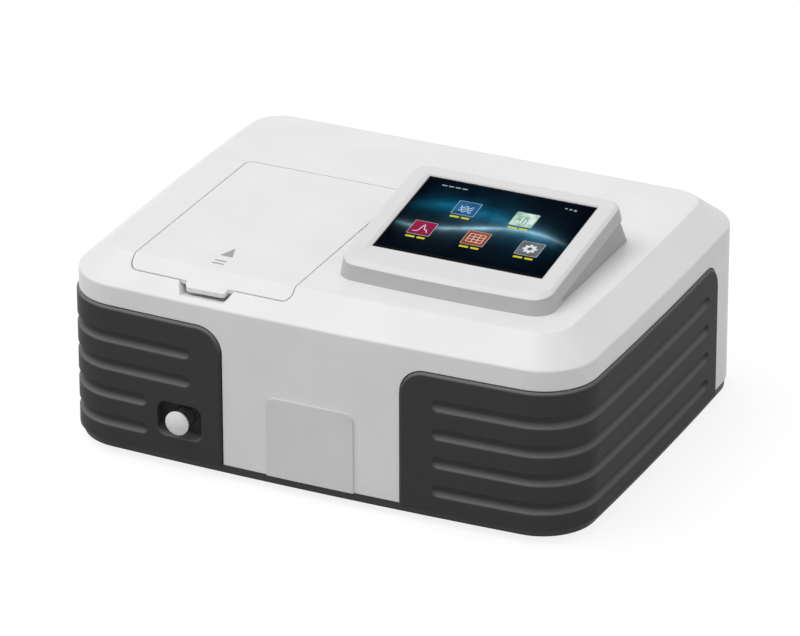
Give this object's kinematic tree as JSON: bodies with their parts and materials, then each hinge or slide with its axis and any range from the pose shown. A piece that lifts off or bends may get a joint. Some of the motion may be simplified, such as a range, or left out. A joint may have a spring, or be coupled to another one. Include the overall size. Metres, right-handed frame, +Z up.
{
  "type": "spectrophotometer",
  "caption": "Benchtop spectrophotometer with a rounded white case, grooved dark corner panels, hinged sample lid, pull rod and a tilted touch-screen pod.",
  "frame": {"origin": "on the surface the feet stand on, at the middle of the overall width and depth", "axes": "+X to the right seen from the front, +Y to the back, +Z up"},
  "size_m": [0.474, 0.377, 0.2149],
  "materials": {
    "white_plastic": "smooth satin white moulding",
    "dark_panel": "fine satin charcoal moulding",
    "plate_grey": "satin light grey",
    "base_black": "matt black",
    "wedge_grey": "satin mid grey",
    "knob_white": "polished white",
    "black_plastic": "matt black",
    "screen_glass": "gloss black cover glass",
    "rubber_black": "matt",
    "steel": "fine brushed",
    "polished_rod": "polished",
    "anodised_black": "black anodised",
    "aluminium_plain": "milled",
    "sheet_metal": "grey powder coat",
    "clear_glass": "clear optical glass",
    "filter_glass": "tinted optical glass",
    "mirror_coat": "front-silvered",
    "board_green": "green solder resist",
    "ceramic": "glazed ceramic"
  },
  "bodies": {
    "instrument": {"base_tray": "base_black", "rubber_feet": "rubber_black", "case_screws": "steel", "upper_housing": "white_plastic", "left_side_panel": "dark_panel", "right_side_panel": "dark_panel", "front_plate": "plate_grey", "rear_panel": "sheet_metal", "display_housing": "white_plastic", "display_base": "wedge_grey", "touch_panel": "screen_glass", "lcd_module": "black_plastic", "display_board": "board_green", "hinge_brackets": "steel", "hinge_pins": "polished_rod", "lid_gasket": "rubber_black", "sample_well": "anodised_black", "beam_windows": "clear_glass", "carriage_rails": "polished_rod", "rod_bush": "black_plastic", "optical_bench": "aluminium_plain", "detector_housing": "anodised_black", "photodiode": "board_green", "mono_housing": "anodised_black", "mono_cover": "anodised_black", "entrance_slit": "steel", "exit_slit": "steel", "collimating_mirror": "mirror_coat", "focusing_mirror": "mirror_coat", "grating_motor": "steel", "filter_motor": "steel", "lamp_house": "sheet_metal", "condenser_lens": "clear_glass", "lamp_socket": "ceramic", "tungsten_lamp": "clear_glass", "main_board": "board_green", "power_supply": "sheet_metal", "fan_frame": "black_plastic", "fan_grille": "polished_rod", "power_inlet": "black_plastic", "switch_frame": "black_plastic", "usb_port": "steel", "serial_port": "steel"},
    "lid": {"sample_lid": "white_plastic"},
    "carriage": {"cell_carriage": "anodised_black", "cuvettes": "clear_glass", "pull_rod": "polished_rod", "rod_knob": "knob_white"},
    "impeller": {"fan_impeller": "black_plastic"},
    "rocker": {"power_rocker": "black_plastic"},
    "wheel": {"filter_wheel": "anodised_black", "wheel_filters": "filter_glass", "wheel_shaft": "polished_rod"},
    "turntable": {"grating_table": "aluminium_plain", "diffraction_grating": "mirror_coat"},
    "fuse_holder": {"fuse_drawer": "black_plastic"}
  },
  "joints": [
    {"name": "lid_hinge", "type": "hinge", "parent": "instrument", "child": "lid", "pos_m": [-0.09985, 0.0709, 0.1681], "axis": [-1, 0, 0], "range_deg": [0, 75]},
    {"name": "rod_slide", "type": "slide", "parent": "instrument", "child": "carriage", "axis": [0, -1, 0], "range_m": [0, 0.06]},
    {"name": "fan_spin", "type": "hinge", "parent": "instrument", "child": "impeller", "pos_m": [0.052, 0.1723, 0.082], "axis": [0, 1, 0], "continuous": true},
    {"name": "rocker_tilt", "type": "hinge", "parent": "instrument", "child": "rocker", "pos_m": [0.15, 0.1808, 0.1], "axis": [0, 0, 1], "range_deg": [0, 12]},
    {"name": "filter_wheel_spin", "type": "hinge", "parent": "instrument", "child": "wheel", "pos_m": [0.012, 0.0453, 0.089], "axis": [0, 1, 0], "continuous": true},
    {"name": "grating_turn", "type": "hinge", "parent": "instrument", "child": "turntable", "pos_m": [0.062, -0.0047, 0.057], "axis": [0, 0, 1], "range_deg": [-30, 30]},
    {"name": "fuse_drawer_slide", "type": "slide", "parent": "instrument", "child": "fuse_holder", "axis": [0, 1, 0], "range_m": [0, 0.012]}
  ]
}
